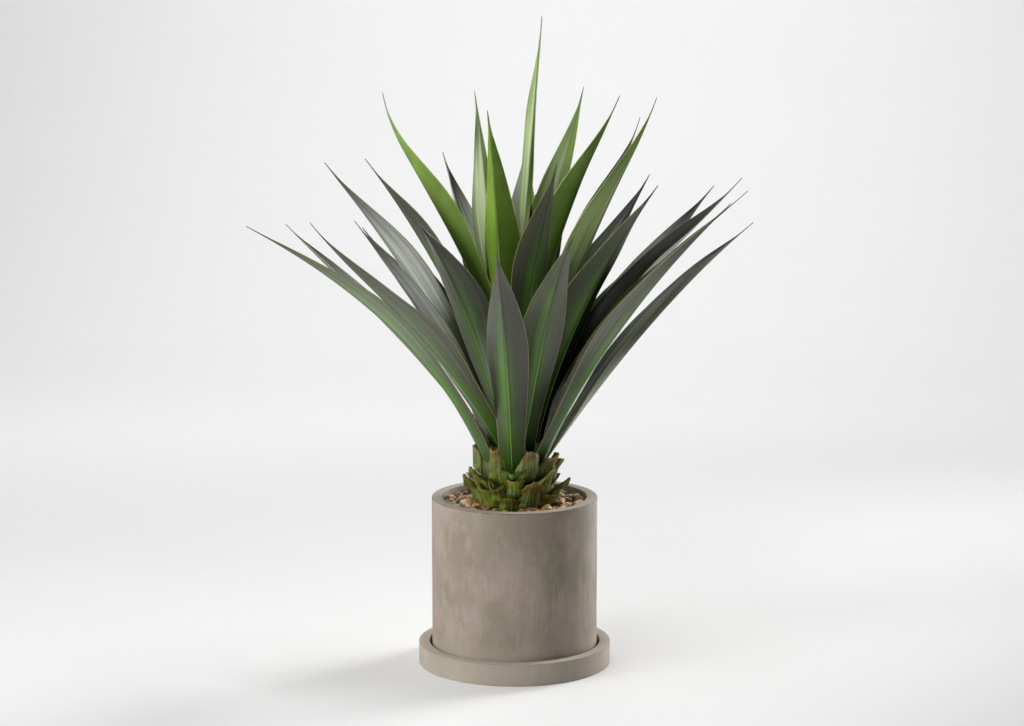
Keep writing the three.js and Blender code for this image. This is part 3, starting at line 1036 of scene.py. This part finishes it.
def bendLeaf(blank, name, row, tones, draw):
    azimuth, height, lean, length, width, roll, sway, green, hook = row
    shape = leafShape
    leaf = copyOf(blank, name)
    route = leafRoute(azimuth, height, lean, length, roll, sway)
    steps = shape["along"]
    neck = along(shape["necks"], height)
    phase = [draw.uniform(0, math.tau) for _ in range(4)]
    pace = [draw.uniform(*shape["pace"]) for _ in range(4)]
    cups = [draw.uniform(*shape["cup"]) for _ in range(2)]
    crease = draw.uniform(*shape["crease"])
    creaseAt = draw.choice((-1, 1)) * draw.uniform(*shape["creaseAt"])
    glowAt = draw.uniform(*shape["glowAt"])
    glowPower = draw.uniform(*shape["glowPower"])
    soft = shape["creaseSoft"]
    inner = [vertex.co.z for vertex in leaf.data.vertices]
    glow = []
    tone = []
    halves = []
    for i in range(steps + 1):
        t = i / steps
        narrowing = 1 - (1 - neck) * max(0, 1 - t / shape["neckEnd"]) ** 2
        halves.append(width / 2 * curveAlong(shape["widths"], t) * narrowing)
    for vertex in leaf.data.vertices:
        share, t, level = vertex.co.x * 2, vertex.co.y, vertex.co.z
        i = round(t * steps)
        keel, forward, across, inward = route[i]
        fold = math.radians(through(shape["fold"], t))
        middling = 4 * t * (1 - t)
        right = share > 0
        swell = math.sin(pace[0] * t + phase[0] + right * 2)
        half = halves[i] * (1 + shape["uneven"] * middling * swell)
        side = -share * half
        rounding = min(shape["keelRound"], half * 0.3)
        rise = (math.sqrt(side * side + rounding * rounding) - rounding) * math.sin(fold)
        rise += half * cups[right] * share * share * middling
        bend = math.sqrt((share - creaseAt) ** 2 + soft) - math.sqrt(creaseAt ** 2 + soft)
        rise += half * crease * bend * middling
        ripple = share * share * shape["wave"] * middling
        ripple *= math.sin(pace[1 + right] * 2 * t + phase[1 + right])
        spot = keel + across * (side * math.cos(fold))
        spot += inward * (rise + level * leafThickness(share, t) + ripple)
        spot += inward * hook * max(0, (t - shape["hookFrom"]) / shape["hookSpan"]) ** 2
        spot -= forward * shape["rooted"] * max(0, 1 - t / shape["rootEnd"])
        vertex.co = spot
        spread = shape["glowSpread"] - shape["glowNarrows"] * t
        near = math.exp(-((share - glowAt * t) / spread) ** 2)
        glow.append(glowPower * near * (1 - blendBetween(*shape["glowFade"], t)))
        tone.append(paintedLightTone(share, t, tones, green))
    pointValue(leaf.data, "innerFace", inner)
    pointValue(leaf.data, "leafGreen", [green] * len(inner))
    pointValue(leaf.data, "leafGlow", glow)
    pointValue(leaf.data, "paintedLightTone", tone)
    return leaf


leafBlank = makeBlank("leafBlank", leafShape["across"], leafShape["along"])
leafDraw = random.Random(leafShape["seed"])
for number, row in enumerate(leafRows, 1):
    tones = paintedHalfTones.get(number, plainPaintedTones)
    leaf = bendLeaf(leafBlank, f"agaveLeaf{number:02d}", row, tones, leafDraw)
    settle(leaf, leafSkin, "leaf", f"leaf_{number:02d}")
bpy.data.objects.remove(leafBlank)
print("leaves bent")


# Stubs of trimmed leaves

stubShape = {
    "across": 44,
    "along": 22,
    "foot": 0.0015,
    "swell": 0.015,
    "swellMost": 0.45,  # of the base's height
    "swellEnd": 0.35,
    "edgeShare": 0.3,
    "root": 0.002,
    "cutThick": 0.0036,
    "hollowFrom": 0.62,
    "ridge": 0.00032,
    "ridges": 8,
    "ridgeRise": (0.05, 0.4),
    "wander": 1.4,  # of the ridges, with its scale across and along
    "wanderScale": (1.6, 0.8),
    "flareFrom": 0.6,
    "flareMiddle": 0.4,
    "jagged": 0.0448,
    "teeth": 4,
    "fineTeeth": 11,
    "fineShare": 0.6,
    "pinch": 0.16,
    "pinchPower": 1.6,
}

# azimuth, foot height, height, lean, width at the foot and at the cut, then how far the lip
# turns out, how much higher its left side is, how far its corners stand over its middle, and
# how brown the cut is
stubRows = [
    # upper ring
    (180, 0.306, 0.046, 0, 0.040, 0.018, 0.001, 0.1, -0.1, 0.3),
    (243, 0.298, 0.062, 5, 0.056, 0.020, 0.003, 0, 0.1, 0.9),
    (293, 0.300, 0.055, 6, 0.062, 0.030, 0.001, 0.08, -0.05, 1),
    (332, 0.298, 0.046, 11, 0.060, 0.032, 0.006, -0.05, 0, 1),
    (10, 0.290, 0.036, 18, 0.040, 0.022, 0.007, 0.25, -0.1, 0.3),
    # middle ring
    (206, 0.276, 0.044, 13, 0.050, 0.018, 0.009, -0.1, -0.35, 0.6),
    (243, 0.266, 0.034, 12, 0.048, 0.026, 0.004, 0.1, 0.35, 0.6),
    (272, 0.276, 0.034, 8, 0.044, 0.030, 0.002, 0, 0.05, 0.1),
    (320, 0.276, 0.043, 13, 0.058, 0.034, 0.005, -0.25, -0.25, 0.3),
    (65, 0.276, 0.046, 16, 0.060, 0.032, 0.006, 0.1, 0, 0.5),
    (125, 0.276, 0.046, 16, 0.060, 0.030, 0.007, -0.1, 0.1, 0.4),
    # lower ring
    (194, 0.254, 0.050, 16, 0.048, 0.018, 0.010, -0.1, -0.35, 0.4),
    (226, 0.254, 0.042, 12, 0.052, 0.032, 0.003, 0.15, 0.1, 0.2),
    (261, 0.254, 0.027, 18, 0.050, 0.036, 0.003, 0, -0.2, 0.2),
    (296, 0.254, 0.048, 14, 0.060, 0.034, 0.003, 0.1, -0.35, 0.7),
    (326, 0.254, 0.027, 24, 0.046, 0.030, 0.004, 0.15, 0, 0.4),
    (353, 0.254, 0.044, 24, 0.050, 0.022, 0.010, 0.05, -0.3, 1),
    (35, 0.254, 0.046, 20, 0.056, 0.030, 0.006, 0, 0.1, 0.4),
    (92, 0.254, 0.044, 20, 0.060, 0.032, 0.006, 0.1, -0.1, 0.5),
    (150, 0.254, 0.046, 20, 0.058, 0.030, 0.008, -0.1, 0, 0.3),
]

collarRow = (268, 0.306, 0.020, 34, 0.016, 0.038, 0.004, 0.0, 0.3, 0.0)
# the collar carries a little painted sheen
collarLook = {"leafGreen": 0.9, "paintedLightTone": 0.15}


def shapeStub(blank, name, row):
    azimuth, foot, height, lean, width, cut, lip, slant, corners, brown = row
    stub = copyOf(blank, name)
    shape = stubShape
    facing = math.radians(azimuth)
    heel = stemRadius(foot) - shape["root"]
    wanderAcross, wanderAlong = shape["wanderScale"]
    inner = [1 - vertex.co.z for vertex in stub.data.vertices]
    ridged = []
    for vertex in stub.data.vertices:
        share, t, level = vertex.co.x * 2, vertex.co.y, vertex.co.z
        swell = min(shape["swell"], shape["swellMost"] * height)
        swell *= 1 - max(0, 1 - t / shape["swellEnd"]) ** 2
        near = heel + height * math.tan(math.radians(lean)) * t * t
        full = shape["foot"] + swell * (1 - (1 - shape["edgeShare"]) * share * share)
        half = (width + (cut - width) * t * t) / 2
        waist = math.sin(math.pi * min(1, t ** shape["pinchPower"])) ** 2
        half *= 1 - shape["pinch"] * waist
        hollow = blendBetween(shape["hollowFrom"], 1, t) * (1 - share ** 4)
        wander = noise.noise(Vector((share * wanderAcross, t * wanderAlong, azimuth)))
        wander *= shape["wander"]
        ridge = math.sin((share * shape["ridges"] / 2 + wander) * math.tau) * 0.5 + 0.5
        strong = blendBetween(*shape["ridgeRise"], t)
        outer = near + full + (ridge - 0.5) * 2 * shape["ridge"] * strong
        inside = near + hollow * max(0, full - shape["cutThick"])
        flare = shape["flareMiddle"] + (1 - shape["flareMiddle"]) * share * share
        flare *= lip * blendBetween(shape["flareFrom"], 1, t)
        radius = inside + (outer - inside) * level + flare
        rough = noise.noise(Vector((share * shape["teeth"], azimuth, 0)))
        fine = noise.noise(Vector((share * shape["fineTeeth"], azimuth, 3)))
        rough += shape["fineShare"] * fine
        top = -slant * share + corners * (abs(share) ** 1.5 - 0.4) + rough * shape["jagged"]
        z = foot + height * (t + top * t ** 3)
        turn = facing + share * half / (heel + shape["swell"])
        vertex.co = (radius * math.cos(turn), radius * math.sin(turn), z)
        ridged.append(ridge * level)
    pointValue(stub.data, "innerFace", inner)
    pointValue(stub.data, "cutBrown", [brown] * len(inner))
    pointValue(stub.data, "fibreRidge", ridged)
    return stub


stubBlank = makeBlank("stubBlank", stubShape["across"], stubShape["along"])
for number, row in enumerate(stubRows, 1):
    stub = shapeStub(stubBlank, f"cutLeafBase{number:02d}", row)
    settle(stub, cutFlesh, "leaf_base", f"leaf_base_{number:02d}")
# a low collar at the foot of the front leaf
collar = shapeStub(stubBlank, "frontLeafCollar", collarRow)
for name, value in collarLook.items():
    pointValue(collar.data, name, [value] * len(collar.data.vertices))
settle(collar, leafSkin, "leaf", "leaf_04")
bpy.data.objects.remove(stubBlank)
print("leaf bases cut")


# Floor and backdrop

def makeSweep():
    depth = room["back"] + room["curve"] - room["front"]
    middle = (room["front"] + room["back"] + room["curve"]) / 2
    bpy.ops.mesh.primitive_plane_add(size=1, location=(0, middle, 0))
    bpy.context.object.scale = (room["width"], depth, 1)
    sweep = justAdded("studioSweep")
    bpy.ops.object.mode_set(mode="EDIT")
    pick(sweep, "EDGE", lambda edge: all(vertex.co.y > room["back"] for vertex in edge.verts))
    bpy.ops.mesh.extrude_region_move(TRANSFORM_OT_translate={"value": (0, 0, room["wall"])})
    pick(sweep, "EDGE", lambda edge: all(vertex.co.y > room["back"] and vertex.co.z < 1
                                         for vertex in edge.verts))
    bpy.ops.mesh.bevel(offset=room["curve"], segments=room["curveSteps"])
    bpy.ops.object.mode_set(mode="OBJECT")
    bpy.ops.object.shade_smooth()
    sweep.data.materials.append(studioMaterial())


makeSweep()


# Light and camera

def aim(thing, place, target):
    thing.location = place
    thing.rotation_euler = (Vector(target) - Vector(place)).to_track_quat("-Z", "Y").to_euler()


for name, place, size, power, target, spread in lights:
    bpy.ops.object.light_add(type="AREA", location=place)
    lamp = bpy.context.object
    lamp.name = name
    lamp.data.shape = "DISK"
    lamp.data.size = size
    lamp.data.energy = power
    lamp.data.spread = math.radians(spread)
    aim(lamp, place, target)

world = bpy.data.worlds.new("paleStudio")
world.use_nodes = True
tree = world.node_tree
background = tree.nodes["Background"]
background.inputs["Color"].default_value = (1, 1, 1, 1)
# pale to the eye but dark to the leaves, as a studio is outside its backdrop
seen = node(tree, "LightPath").outputs["Is Camera Ray"]
strength = linear(tree, seen, worldLight["seen"] - worldLight["cast"], worldLight["cast"])
plug(tree, strength, background, "Strength")
bpy.context.scene.world = world
bpy.context.scene.view_settings.view_transform = "Standard"

bpy.ops.object.camera_add(location=camera["place"], rotation=(math.radians(camera["pitch"]), 0, 0))
eye = bpy.context.object
eye.data.lens = camera["lens"]
eye.data.sensor_width = camera["sensor"]
bpy.context.scene.camera = eye
print("room lit")
